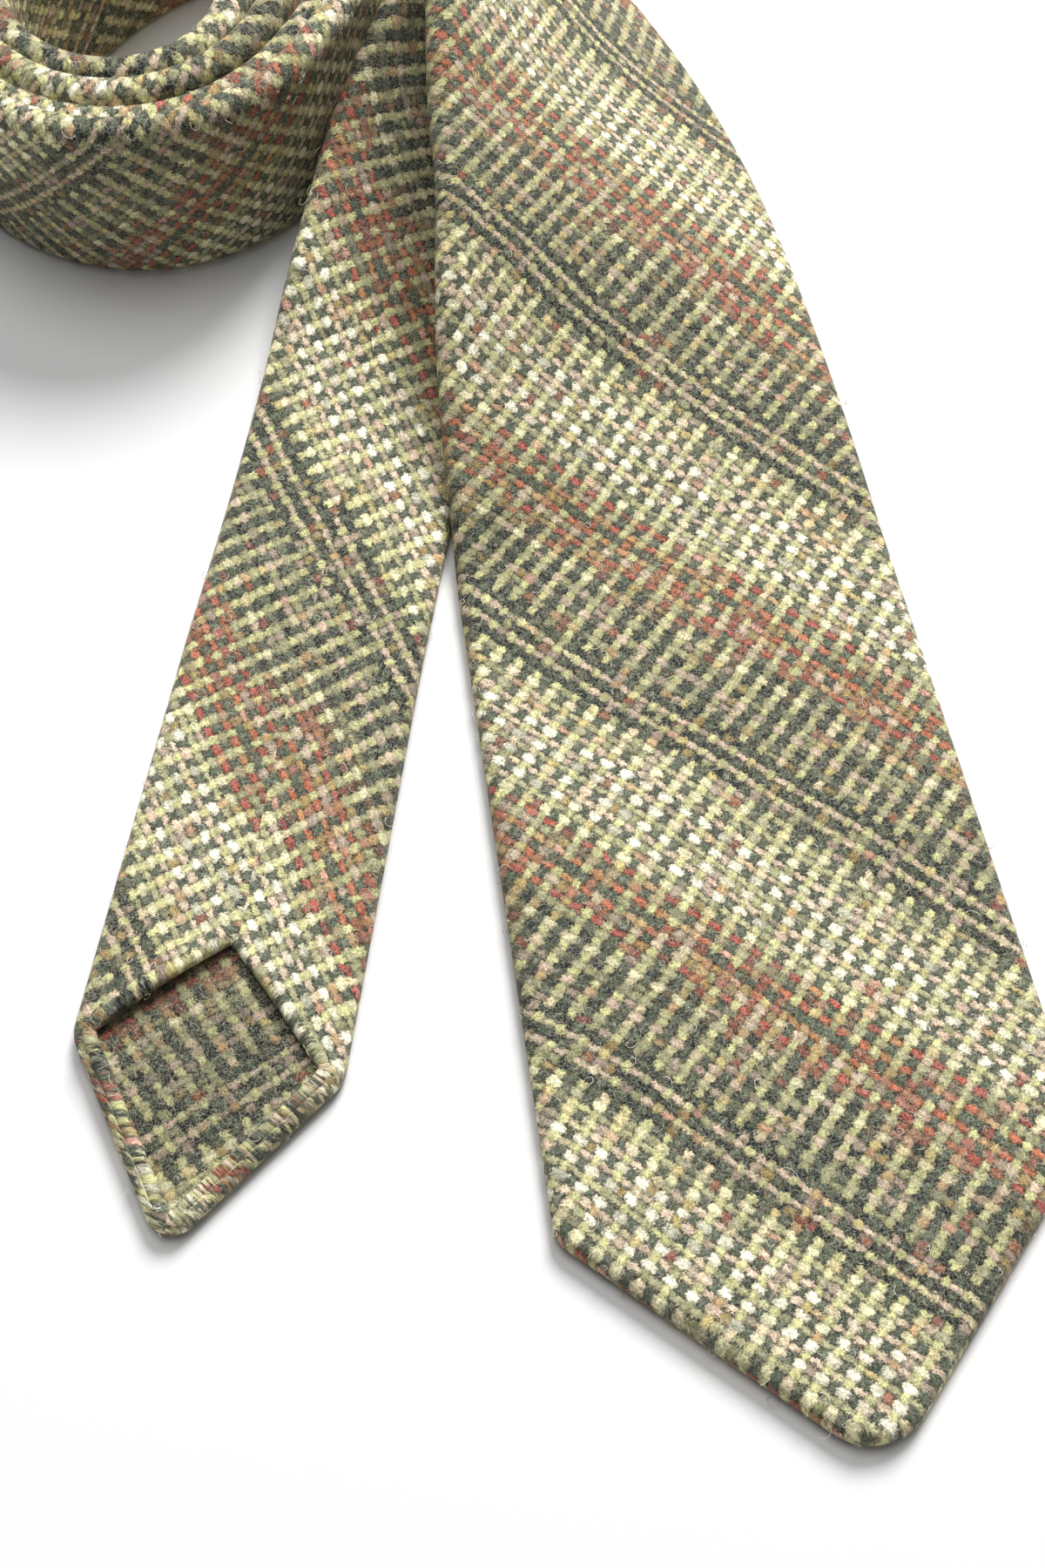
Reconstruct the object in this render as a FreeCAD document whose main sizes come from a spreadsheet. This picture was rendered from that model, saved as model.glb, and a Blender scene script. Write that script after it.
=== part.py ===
"""Necktie in wool tweed, lying on a table with its doubled neck band rolled into a standing coil.

Lengths are millimetres.  While the pieces are shaped, X and Y lie on the table and Z is up; at the
end the whole tie is moved so that the origin is the middle of its footprint.  Headings are degrees
left of +Y.  A ply is one thickness of the finished tie: cloth, interlining, and the two back flaps.
"""
import FreeCAD, Part
import math
import os

import Sketcher

doc = FreeCAD.newDocument("necktie")

# ---------------------------------------------------------------- driving dimensions
DIMENSIONS = [
    ("blade_width", 80.0),  # across the corners of the wide end
    ("blade_tip_length", 40.0),  # from the point to the line between the corners
    ("blade_taper", 0.08),  # width lost for each millimetre of length
    ("blade_notch", 80.0),  # from the point to where the back flaps part
    ("blade_free_length", 150.0),  # from the point to the line that the wide end lifts about
    ("blade_tipping_length", 92.0),
    ("tail_width", 41.0),
    ("tail_tip_length", 29.0),
    ("tail_taper", 0.045),
    ("tail_notch", 48.0),
    ("tail_free_length", 100.0),
    ("tail_tipping_length", 58.0),
    ("blade_point_rounding", 9.0),
    ("tail_point_rounding", 3.0),
    ("corner_rounding", 3.0),
    ("neck_width", 36.0),
    ("tail_neck_width", 34.0),
    ("ply_thickness", 3.8),
    ("cloth_thickness", 0.9),
    ("ply_gap", 0.4),  # between the two plies of the doubled band
    ("tipping_thickness", 0.8),
    ("hem_width", 3.0),  # cloth turned over the edges of each point
    ("seam_gap", 1.0),  # between the two flaps, where the slip stitch runs
    ("thread", 0.4),
    ("ease", 0.05),  # looseness of a lining inside the cloth
    ("fold_radius", 4.0),  # of the ply's middle where the neck folds back
    ("hinge_gap", 0.3),
    ("loop_width", 10.0),
    ("loop_length", 44.0),
    ("loop_offset", 12.0),  # from the blade's right edge to the keeper loop
    ("loop_station", 190.0),  # from the point to the middle of the keeper loop
    ("tack_length", 8.0),
]

sheet = doc.addObject("Spreadsheet::Sheet", "dims")
for row, (alias, value) in enumerate(DIMENSIONS, start=1):
    sheet.set(f"A{row}", alias)
    sheet.set(f"B{row}", str(value))
    sheet.setAlias(f"B{row}", alias)
doc.recompute()


def dim(alias):
    return float(getattr(sheet, alias))


# ---------------------------------------------------------------- where the tie lies
BLADE_POINT = (52.2, -106.1)
BLADE_HEADING = 10.5
TAIL_POINT = (-53.2, -75.1)
TAIL_HEADING = -9.8

# Each move is ("line", length) or ("turn", radius, new heading); every turn is to the left.
TO_BLADE_SIDE = [
    ("turn", 653.0, 15.5),
    ("turn", 210.0, 34.0),
    ("turn", 70.0, 90.0),
    ("line", 16.9),
    ("turn", 53.6, 180.0),
]
OUTER_TURN = [
    ("turn", 40.2, 326.0),
    ("turn", 91.0, 357.0),
    ("turn", 15.0, 450.0),
]
INNER_TURN = [
    ("turn", 62.0, 502.0),
    ("line", 14.0),
    ("turn", 20.0, 576.0),
    ("turn", 29.8, 720.0),
]
TAIL_LEAN = (2370.0, -6.8)  # radius and new heading of the narrow side's long first bend

# (length along the right edge from the lifting line, degrees that the ply is turned up on its edge)
BLADE_TWIST = [
    (0.0, 0.0),
    (18.0, 4.0),
    (37.0, 10.0),
    (56.0, 20.0),
    (73.0, 26.0),
    (90.0, 31.0),
    (108.0, 40.0),
    (126.4, 50.0),
    (146.0, 67.0),
    (163.0, 80.0),
    (180.0, 87.0),
    (195.0, 89.5),
    (213.0, 90.0),
    (294.4, 90.0),
]
TAIL_TWIST = [
    (0.0, 0.0),
    (30.0, 0.5),
    (55.0, 4.0),
    (70.0, 13.0),
    (86.0, 24.0),
    (105.0, 38.0),
    (124.1, 56.0),
    (142.0, 68.0),
    (160.0, 78.0),
    (178.0, 84.0),
    (196.0, 88.0),
    (214.0, 90.0),
    (287.7, 90.0),
]
STATION_STEP = 8.0  # between the sections of a twisting stretch
THREAD_STEP = 1.5  # the same for a thread, whose sections are small
PANEL_SEAM = 0.3  # the sewn joint between two panels
THREAD_FLATNESS = 0.6  # a thread's depth for its width, pressed in a seam


# ---------------------------------------------------------------- routes on the table
def right_of(heading):
    """Unit vector to the right of a heading."""
    turn = math.radians(heading)
    return FreeCAD.Vector(math.cos(turn), math.sin(turn), 0)


def along(heading):
    """Unit vector along a heading."""
    turn = math.radians(heading)
    return FreeCAD.Vector(-math.sin(turn), math.cos(turn), 0)


class Route:
    """A line on the table made of straight runs and tangent arcs, which may turn either way."""

    def __init__(self, start, heading):
        self.here = FreeCAD.Vector(start[0], start[1], 0)
        self.heading = heading
        self.pieces = []  # (start, heading, radius, length); a radius of 0 is straight
        self.length = 0.0

    def add(self, start, heading, radius, length):
        self.pieces.append((start, heading, radius, length))
        self.length += length

    def line(self, length):
        self.add(self.here, self.heading, 0.0, length)
        self.here = self.here + along(self.heading) * length

    def turn(self, radius, new_heading):
        """A positive radius has its centre on the left."""
        centre = self.here - right_of(self.heading) * radius
        self.add(self.here, self.heading, radius, abs(math.radians(new_heading - self.heading) * radius))
        self.heading = new_heading
        self.here = centre + right_of(new_heading) * radius

    def follow(self, moves, inset=0.0):
        for move in moves:
            if move[0] == "line":
                self.line(move[1])
            else:
                self.turn(move[1] - inset, move[2])

    def at(self, distance):
        """The point and heading at a distance along the route."""
        for start, heading, radius, length in self.pieces:
            if distance <= length + 1e-6:
                break
            distance -= length
        if radius == 0.0:
            return start + along(heading) * distance, heading
        centre = start - right_of(heading) * radius
        new_heading = heading + math.degrees(distance / radius)
        return centre + right_of(new_heading) * radius, new_heading

    def wire(self, first=0):
        """The pieces from number first on, as one wire."""
        edges = []
        before = sum(piece[3] for piece in self.pieces[:first])
        for start, heading, radius, length in self.pieces[first:]:
            end = self.at(before + length - 1e-9)[0]
            if radius == 0.0:
                edges.append(Part.LineSegment(start, end).toShape())
            else:
                middle = self.at(before + length / 2)[0]
                edges.append(Part.Arc(start, middle, end).toShape())
            before += length
        return Part.Wire(edges)


def between(table, value):
    """Smooth reading of a table of pairs: a cubic whose slope at each pair is its neighbours' slope."""
    slopes = []
    for index in range(len(table)):
        before = table[max(index - 1, 0)]
        after = table[min(index + 1, len(table) - 1)]
        slopes.append((after[1] - before[1]) / (after[0] - before[0]))
    slopes[0] = slopes[-1] = 0.0
    for index, ((low, start), (high, end)) in enumerate(zip(table, table[1:])):
        if value <= high + 1e-6:
            break
    span = high - low
    share = (value - low) / span
    rise = end - start
    first, last = slopes[index] * span, slopes[index + 1] * span
    bend, twist = 3 * rise - 2 * first - last, first + last - 2 * rise
    return start + share * (first + share * (bend + share * twist))


# ---------------------------------------------------------------- sketch helpers
def origin_plane(body, role):
    return next(item for item in body.Origin.OriginFeatures if item.Role == role)


def draw_polygon(sketch, points):
    """Closed outline; each point is a pair of expressions, each bound to the dimensions."""
    count = len(points)
    for index in range(count):
        turn = 2 * math.pi * index / count
        after = 2 * math.pi * (index + 1) / count
        start = FreeCAD.Vector(10 * math.cos(turn), 10 * math.sin(turn), 0)
        end = FreeCAD.Vector(10 * math.cos(after), 10 * math.sin(after), 0)
        sketch.addGeometry(Part.LineSegment(start, end), False)
    for index in range(count):
        sketch.addConstraint(Sketcher.Constraint("Coincident", index, 2, (index + 1) % count, 1))
    for index, (across, up) in enumerate(points):
        for kind, expression in (("DistanceX", across), ("DistanceY", up)):
            number = sketch.addConstraint(Sketcher.Constraint(kind, -1, 1, index, 1, 1.0))
            sketch.setExpression(f"Constraints[{number}]", expression)


def flat_sketch(body, name, height, points):
    """Outline parallel to the body's XY plane, at a height given as an expression."""
    sketch = body.newObject("Sketcher::SketchObject", name)
    sketch.AttachmentSupport = (origin_plane(body, "XY_Plane"), [""])
    sketch.MapMode = "FlatFace"
    sketch.setExpression("AttachmentOffset.Base.z", height)
    draw_polygon(sketch, points)
    return sketch


def pad(body, name, height, length, points):
    feature = body.newObject("PartDesign::Pad", name)
    feature.Profile = flat_sketch(body, name + "_outline", height, points)
    feature.setExpression("Length", length)
    doc.recompute()
    return feature


def pocket(body, name, height, depth, points):
    """Cuts upward from the given height, and must take material away."""
    before = body.Shape.Volume
    feature = body.newObject("PartDesign::Pocket", name)
    feature.Profile = flat_sketch(body, name + "_outline", height, points)
    feature.Reversed = True
    feature.setExpression("Length", depth)
    doc.recompute()
    if body.Shape.Volume >= before - 0.01:
        raise RuntimeError(f"{name} in {body.Label} cuts nothing")
    return feature


# ---------------------------------------------------------------- the free ends
def end_outline(kind, inset, top):
    """A pointed end seen from above, from its point up to a station, drawn in by an inset."""
    half = f"dims.{kind}_width / 2"
    tip = f"dims.{kind}_tip_length"
    slope = f"sqrt(1 + pow({half} / ({tip}); 2))"
    point_y = f"{inset} * ({tip}) / ({half}) * {slope}"
    corner_x = f"{half} - {inset}"
    corner_y = f"{tip} + {inset} * ({slope} * ({tip}) / ({half}) - ({tip}) / ({half}))"
    top_x = f"{half} - dims.{kind}_taper / 2 * ({top} - {tip}) - {inset}"
    return [
        ("0 mm", f"({point_y}) * 1 mm"),
        (f"({corner_x}) * 1 mm", f"({corner_y}) * 1 mm"),
        (f"({top_x}) * 1 mm", f"({top}) * 1 mm"),
        (f"-({top_x}) * 1 mm", f"({top}) * 1 mm"),
        (f"-({corner_x}) * 1 mm", f"({corner_y}) * 1 mm"),
    ]


def round_upright_edges(body, y_place, size):
    """Rounds the upright edges of the block at one distance from the point."""
    base = body.Tip
    names = []
    for number, edge in enumerate(base.Shape.Edges, start=1):
        box = edge.BoundBox
        if box.ZLength > dim("ply_thickness") - 0.1 and abs(box.YMax - y_place) < 1.0:
            names.append(f"Edge{number}")
    feature = body.newObject("PartDesign::Fillet", size)
    feature.Base = (base, names)
    feature.setExpression("Radius", f"dims.{size}")
    doc.recompute()


def make_body(label):
    body = doc.addObject("PartDesign::Body", label)
    body.Label = label
    return body


def make_end_shell(kind):
    """Cloth of one free end: the front, two back flaps, and the hem round the point."""
    body = make_body(f"{kind}_shell_end")
    top = f"(dims.{kind}_free_length - dims.hinge_gap)"
    past = f"(dims.{kind}_free_length + 5)"
    pad(body, "cloth", "0 mm", "dims.ply_thickness", end_outline(kind, "0", top))
    round_upright_edges(body, 0.0, f"{kind}_point_rounding")
    round_upright_edges(body, dim(f"{kind}_tip_length"), "corner_rounding")
    room = "dims.ply_thickness - 2 * dims.cloth_thickness"
    outline = end_outline(kind, "dims.cloth_thickness", past)
    pocket(body, "interlining_room", "dims.cloth_thickness", room, outline)
    half = f"dims.{kind}_width / 2"
    tip = f"dims.{kind}_tip_length"
    hem = "dims.hem_width"
    window = [
        ("0 mm", f"({hem} * 1.6) * 1 mm"),
        (f"({half} - {hem} * 1.4) * 1 mm", f"({tip}) * 1 mm"),
        ("dims.seam_gap * 0.5 mm", f"dims.{kind}_notch * 1 mm"),
        ("-dims.seam_gap * 0.5 mm", f"dims.{kind}_notch * 1 mm"),
        (f"-({half} - {hem} * 1.4) * 1 mm", f"({tip}) * 1 mm"),
    ]
    pocket(body, "tipping_window", "0 mm", "dims.cloth_thickness", window)
    seam = [
        ("dims.seam_gap * 0.5 mm", f"(dims.{kind}_notch - 1) * 1 mm"),
        ("dims.seam_gap * 0.5 mm", f"{past} * 1 mm"),
        ("-dims.seam_gap * 0.5 mm", f"{past} * 1 mm"),
        ("-dims.seam_gap * 0.5 mm", f"(dims.{kind}_notch - 1) * 1 mm"),
    ]
    pocket(body, "back_seam", "0 mm", "dims.cloth_thickness", seam)
    return body


def make_end_interlining(kind):
    """Wool interlining of one free end, thinned where the tipping lies on it."""
    body = make_body(f"{kind}_interlining_end")
    inset = "(dims.cloth_thickness + 3 * dims.ease)"
    low = "dims.cloth_thickness + dims.ease"
    thick = "dims.ply_thickness - 2 * dims.cloth_thickness - 2 * dims.ease"
    top = f"(dims.{kind}_free_length - dims.hinge_gap)"
    pad(body, "wool", low, thick, end_outline(kind, inset, top))
    relief_top = f"(dims.{kind}_tipping_length + 1)"
    depth = "dims.tipping_thickness + dims.ease"
    pocket(body, "tipping_relief", low, depth, end_outline(kind, "0", relief_top))
    return body


def make_tipping(kind):
    """Self-cloth lining behind the point, its top edge under the flaps."""
    body = make_body(f"{kind}_tipping")
    inset = "(dims.cloth_thickness + 6 * dims.ease)"
    low = "dims.cloth_thickness + dims.ease"
    top = f"dims.{kind}_tipping_length"
    pad(body, "lining", low, "dims.tipping_thickness", end_outline(kind, inset, top))
    return body


def make_bar(label, half_width, first, last, low, thick):
    """A straight bar along the middle of a free end."""
    body = make_body(label)
    outline = [
        (f"({half_width}) * 1 mm", f"({first}) * 1 mm"),
        (f"({half_width}) * 1 mm", f"({last}) * 1 mm"),
        (f"-({half_width}) * 1 mm", f"({last}) * 1 mm"),
        (f"-({half_width}) * 1 mm", f"({first}) * 1 mm"),
    ]
    pad(body, "bar", low, thick, outline)
    return body


def make_end(kind):
    """Every piece of one free end, in its own frame: point at the origin, front up."""
    tack = make_bar(
        f"{kind}_bar_tack",
        "dims.seam_gap / 2 - dims.ease",
        f"dims.{kind}_notch + 1",
        f"dims.{kind}_notch + 3",
        "dims.cloth_thickness / 4",
        "dims.cloth_thickness / 2",
    )
    stitch = make_bar(
        f"{kind}_slip_stitch_end",
        "dims.thread / 2",
        f"dims.{kind}_notch + 3.2",
        f"dims.{kind}_free_length - dims.hinge_gap",
        "dims.cloth_thickness / 4",
        "dims.thread",
    )
    return [make_end_shell(kind), make_end_interlining(kind), make_tipping(kind), tack, stitch]


# ---------------------------------------------------------------- ply sections
# A section's first coordinate runs from the right or lower edge across the ply, its second from
# one face to the other.  The flaps and the seam are on the face that flap_side names.
def shell_section(width, thick, cloth, gap, flap_side):
    """Outline of the wrapped cloth: an open C whose mouth is the back seam."""
    middle = width / 2
    points = [
        (middle - gap / 2, 0.0),
        (0.0, 0.0),
        (0.0, thick),
        (width, thick),
        (width, 0.0),
        (middle + gap / 2, 0.0),
        (middle + gap / 2, cloth),
        (width - cloth, cloth),
        (width - cloth, thick - cloth),
        (cloth, thick - cloth),
        (cloth, cloth),
        (middle - gap / 2, cloth),
    ]
    return points if flap_side == "low" else [(a, thick - b) for a, b in points]


def box_section(low_a, high_a, low_b, high_b):
    return [(low_a, low_b), (high_a, low_b), (high_a, high_b), (low_a, high_b)]


def ply_section(piece, width, flap_side):
    """Section of one piece of a ply of a given width."""
    thick, cloth, ease = dim("ply_thickness"), dim("cloth_thickness"), dim("ease")
    if piece == "shell":
        return shell_section(width, thick, cloth, dim("seam_gap"), flap_side)
    if piece == "interlining":
        side = cloth + 3 * ease
        return box_section(side, width - side, cloth + ease, thick - cloth - ease)
    half, flat = dim("thread") / 2, dim("thread") * THREAD_FLATNESS
    low = cloth / 4 if flap_side == "low" else thick - cloth / 4 - flat
    return box_section(width / 2 - half, width / 2 + half, low, low + flat)


def place_section(points, foot, heading, twist):
    """Puts a section on the table: foot is its outer lower corner, twist its lean from flat."""
    lean = math.radians(twist)
    left = right_of(heading) * -1
    up = FreeCAD.Vector(0, 0, 1)
    across = left * math.cos(lean) + up * math.sin(lean)
    through = left * -math.sin(lean) + up * math.cos(lean)
    start = foot + left * (dim("ply_thickness") * math.sin(lean))
    corners = [start + across * a + through * b for a, b in points]
    return Part.makePolygon(corners + corners[:1])


def twisted_loft(route, twist, first, last, section, spacing=STATION_STEP):
    """Solid through evenly spaced sections between two distances along a route."""
    steps = max(2, round((last - first) / spacing))
    wires = []
    for step in range(steps + 1):
        distance = first + (last - first) * step / steps
        foot, heading = route.at(distance)
        lean = max(0.0, between(twist, distance))
        wires.append(place_section(section(distance), foot, heading, lean))
    return Part.makeLoft(wires, True, True)


def feature_of(name, shape):
    feature = doc.addObject("Part::Feature", name)
    feature.Shape = shape
    return feature


def section_sketch(name, piece, width_alias, flap_side, route, distance):
    """A ply section as a sketch bound to the dimensions, standing across a route."""
    sketch = doc.addObject("Sketcher::SketchObject", name)
    width, thick, cloth = f"dims.{width_alias}", "dims.ply_thickness", "dims.cloth_thickness"
    gap, ease, thread = "dims.seam_gap", "dims.ease", "dims.thread"
    if piece == "shell":
        lip, far = f"{width} / 2 - {gap} / 2", f"{width} / 2 + {gap} / 2"
        across = [lip, "0", "0", width, width, far, far]
        across += [f"{width} - {cloth}", f"{width} - {cloth}", cloth, cloth, lip]
        inner = f"{thick} - {cloth}"
        through = ["0", "0", thick, thick, "0", "0", cloth, cloth, inner, inner, cloth, cloth]
    elif piece == "interlining":
        side = f"{cloth} + 3 * {ease}"
        across = [side, f"{width} - ({side})", f"{width} - ({side})", side]
        low, high = f"{cloth} + {ease}", f"{thick} - {cloth} - {ease}"
        through = [low, low, high, high]
    else:
        left, right = f"{width} / 2 - {thread} / 2", f"{width} / 2 + {thread} / 2"
        across = [left, right, right, left]
        low, high = f"{cloth} / 4", f"{cloth} / 4 + {thread} * {THREAD_FLATNESS}"
        through = [low, low, high, high]
    if flap_side == "high":
        through = [f"{thick} - ({text})" for text in through]
    draw_polygon(sketch, [(f"({b}) * 1 mm", f"({a}) * 1 mm") for a, b in zip(across, through)])
    foot, heading = route.at(distance)
    inner_foot = foot - right_of(heading) * dim("ply_thickness")
    turn = FreeCAD.Rotation(right_of(heading), FreeCAD.Vector(0, 0, 1), along(heading) * -1, "XYZ")
    sketch.Placement = FreeCAD.Placement(inner_foot, turn)
    return sketch


def sweep_of(name, sketch, spine):
    sweep = doc.addObject("Part::Sweep", name)
    sweep.Sections = [sketch]
    sweep.Spine = (spine, [f"Edge{n + 1}" for n in range(len(spine.Shape.Edges))])
    sweep.Solid = True
    sweep.Frenet = False
    doc.recompute()
    return sweep


def fuse_of(label, parts):
    fuse = doc.addObject("Part::MultiFuse", label)
    fuse.Label = label
    fuse.Shapes = parts
    return fuse


def compound_of(label, parts):
    """Lengths of one thread that meet end to end."""
    compound = doc.addObject("Part::Compound", label)
    compound.Label = label
    compound.Links = parts
    return compound


# ---------------------------------------------------------------- routes of the plies
WAIST = 126.4  # beyond the lifting line: from here the blade side narrows faster


def ply_width(kind, distance):
    """Width of a ply at a distance from its lifting line."""
    station = dim(f"{kind}_free_length") + distance
    tapered = dim(f"{kind}_width") - dim(f"{kind}_taper") * (station - dim(f"{kind}_tip_length"))
    if kind == "tail":
        return max(tapered, dim("tail_neck_width"))
    if distance <= WAIST:
        return tapered
    at_waist = ply_width(kind, WAIST)
    share = (distance - WAIST) / (BLADE_TWIST[-1][0] - WAIST)
    return at_waist + share * (dim("neck_width") - at_waist)


def start_route(kind, point, heading):
    """A route from the right edge of a free end, where its lifting line is."""
    edge = along(heading) * dim(f"{kind}_free_length")
    edge = edge + right_of(heading) * (ply_width(kind, 0.0) / 2)
    return Route((point[0] + edge.x, point[1] + edge.y), heading)


def blade_route():
    """Outer face of the blade side, from the lifting line to the panel seam."""
    route = start_route("blade", BLADE_POINT, BLADE_HEADING)
    route.follow(TO_BLADE_SIDE)
    route.follow(OUTER_TURN)
    return route


def tail_route(blade):
    """Outer face of the tail side, from its lifting line to the panel seam."""
    inset = dim("ply_thickness") + dim("ply_gap")
    route = start_route("tail", TAIL_POINT, TAIL_HEADING)
    route.turn(*TAIL_LEAN)
    west_turn = blade.pieces[len(TO_BLADE_SIDE) - 1][0]
    rise = west_turn.y - inset - route.here.y
    route.turn(rise / (1 - math.sin(math.radians(route.heading))), 90.0)
    route.line(route.here.x - west_turn.x)
    route.follow(TO_BLADE_SIDE[-1:], inset)
    route.follow(OUTER_TURN, inset)
    return route


def neck_route(blade):
    """Front face of the neck: round the inner turn, back on itself at the fold, and home again."""
    thick = dim("ply_thickness")
    inset = 2 * thick + dim("ply_gap")
    start = blade.here + along(blade.heading) * PANEL_SEAM
    route = Route((start.x, start.y), blade.heading)
    route.follow(INNER_TURN)
    last_radius = INNER_TURN[-1][1]
    fold = dim("fold_radius") + thick / 2
    route.turn(fold, route.heading + 180.0)
    opened = last_radius - 2 * fold  # radius of the inner ply where it stands off the outer one
    route.line(last_radius - inset - opened)
    route.turn(-opened, route.heading - 90.0)
    (_, r1, h1), (_, run), (_, r2, h2), (_, r3, _) = INNER_TURN
    route.turn(inset - r3, 180.0 + h2)
    route.turn(inset - r2, 180.0 + h1)
    route.line(run)
    route.turn(inset - r1, 180.0 + blade.heading)
    return route


# ---------------------------------------------------------------- the band between the ends
def stretched(table, length):
    """A twist table stretched to end exactly at a length."""
    scale = length / table[-1][0]
    return [(distance * scale, lean) for distance, lean in table]


def make_band(side, piece, label):
    """One piece of a side: the twisting stretch, then the upright stretch up to the panel seam."""
    route, flap_side = side["route"], side["flap_side"]

    def section(distance):
        return ply_section(piece, ply_width(side["kind"], distance), flap_side)

    spacing = THREAD_STEP if piece == "stitch" else STATION_STEP
    loft = twisted_loft(route, side["twist"], 0.0, side["upright_at"], section, spacing)
    twisted = feature_of(f"{label}_twist", loft)
    spine = feature_of(f"{label}_spine", route.wire(side["twisting_pieces"]))
    sketch = section_sketch(f"{label}_section", piece, side["neck_alias"], flap_side, route, side["upright_at"])
    upright = sweep_of(f"{label}_upright", sketch, spine)
    join = compound_of if piece == "stitch" else fuse_of
    return join(label, [twisted, upright])


def make_neck(piece, label, route):
    spine = feature_of(f"{label}_spine", route.wire())
    sketch = section_sketch(f"{label}_section", piece, "neck_width", "low", route, 0.0)
    sweep = sweep_of(label, sketch, spine)
    sweep.Label = label
    return sweep


def make_panel_seam(label, width_alias, flap_side, route):
    """Sewn joint between two panels: a ring of cloth edge as deep as the wrapped shell."""
    sketch = section_sketch(f"{label}_section", "shell", width_alias, flap_side, route, route.length)
    seam = doc.addObject("Part::Extrusion", label)
    seam.Label = label
    seam.Base = sketch
    seam.DirMode = "Custom"
    seam.Dir = along(route.heading)
    seam.LengthFwd = PANEL_SEAM
    seam.Solid = True
    return seam


def make_strip(side, centre, length, low_a, high_a, low_b, high_b):
    """Thin strip across a side's back, following its twist."""
    outline = box_section(low_a, high_a, low_b, high_b)
    return twisted_loft(side["route"], side["twist"], centre - length / 2, centre + length / 2, lambda _: outline)


def make_keeper(side):
    """Loop of self cloth across the blade's back, and the two tacks that hold its ends."""
    centre = dim("loop_station") - dim("blade_free_length")
    low, high = dim("loop_offset"), dim("loop_offset") + dim("loop_length")
    near = -8 * dim("ease")
    far = near - dim("cloth_thickness")
    loop = make_strip(side, centre, dim("loop_width"), low, high, far, near)
    thread = dim("thread")
    under = far - thread
    tacks = []
    for edge in (low + 1.0, high - 1.0 - thread):
        tacks.append(make_strip(side, centre, dim("tack_length"), edge, edge + thread, under, far))
    return [feature_of("keeper_loop", loop), feature_of("keeper_loop_tacks", Part.makeCompound(tacks))]


# ---------------------------------------------------------------- build
def turned_about_z(angle):
    return FreeCAD.Rotation(FreeCAD.Vector(0, 0, 1), angle)


def place_ends(blade_pieces, tail_pieces):
    """The wide end lies front up; the narrow end lies back up."""
    blade_place = FreeCAD.Placement(FreeCAD.Vector(*BLADE_POINT, 0), turned_about_z(BLADE_HEADING))
    for piece in blade_pieces:
        piece.Placement = blade_place
    over = FreeCAD.Rotation(FreeCAD.Vector(0, 1, 0), 180)
    tail_place = FreeCAD.Placement(
        FreeCAD.Vector(*TAIL_POINT, dim("ply_thickness")),
        turned_about_z(TAIL_HEADING).multiply(over),
    )
    for piece in tail_pieces:
        piece.Placement = tail_place


def make_side(kind, route, table, twisting_pieces, flap_side, neck_alias):
    """What the pieces of one side share."""
    upright_at = sum(item[3] for item in route.pieces[:twisting_pieces])
    return {
        "kind": kind,
        "route": route,
        "twist": stretched(table, upright_at),
        "twisting_pieces": twisting_pieces,
        "upright_at": upright_at,
        "flap_side": flap_side,
        "neck_alias": neck_alias,
    }


def make_all():
    blade_pieces = make_end("blade")
    tail_pieces = make_end("tail")
    place_ends(blade_pieces, tail_pieces)
    blade = blade_route()
    tail = tail_route(blade)
    sides = [
        make_side("blade", blade, BLADE_TWIST, len(TO_BLADE_SIDE), "low", "neck_width"),
        make_side("tail", tail, TAIL_TWIST, 4, "high", "tail_neck_width"),
    ]
    nodes = blade_pieces + tail_pieces
    for side in sides:
        for piece, name in (("shell", "shell"), ("interlining", "interlining"), ("stitch", "slip_stitch")):
            nodes.append(make_band(side, piece, f"{side['kind']}_{name}_upper"))
        label = f"{side['kind']}_panel_seam"
        nodes.append(make_panel_seam(label, side["neck_alias"], side["flap_side"], side["route"]))
    neck = neck_route(blade)
    pieces = (("shell", "neck_shell"), ("interlining", "neck_interlining"), ("stitch", "neck_slip_stitch"))
    for piece, label in pieces:
        nodes.append(make_neck(piece, label, neck))
    nodes += make_keeper(sides[0])
    doc.recompute()
    print("lengths: wide side", round(dim("blade_free_length") + blade.length),
          "narrow side", round(dim("tail_free_length") + tail.length), "neck", round(neck.length))
    return nodes


def centre_footprint(nodes):
    """Moves every piece so that the origin is the middle of the footprint."""
    whole = FreeCAD.BoundBox()
    for node in nodes:
        whole.add(node.Shape.optimalBoundingBox(False, False))
    shift = FreeCAD.Vector(-(whole.XMin + whole.XMax) / 2, -(whole.YMin + whole.YMax) / 2, -whole.ZMin)
    for node in nodes:
        node.Placement = FreeCAD.Placement(shift, FreeCAD.Rotation()).multiply(node.Placement)
    doc.recompute()
    print("moved by", [round(value, 2) for value in shift], "size", round(whole.XLength, 1),
          round(whole.YLength, 1), round(whole.ZLength, 1))


def write_out(nodes):
    for item in doc.Objects:
        if "Invalid" in item.State or "Error" in item.State:
            raise RuntimeError(f"{item.Name} failed: {item.State}")
    for node in nodes:
        shape = node.Shape
        if shape.isNull() or not shape.isValid() or not shape.Solids:
            raise RuntimeError(f"{node.Label} has no valid solid")
        print(node.Label, "solids", len(shape.Solids), "volume", round(shape.Volume, 1))
    os.makedirs("parts", exist_ok=True)
    for node in nodes:
        node.Shape.exportStep(f"parts/{node.Label}.step")


tie_nodes = make_all()
centre_footprint(tie_nodes)
write_out(tie_nodes)
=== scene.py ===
"""Looks of a tweed necktie that lies on a table, its doubled neck band rolled into a standing coil.

Lengths are millimetres until a mesh is made, where MM turns them into Blender's metres.  Places on
the tie are given along it (station, from a point) and across it; the routes are the CAD model's.
"""

import math

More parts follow.
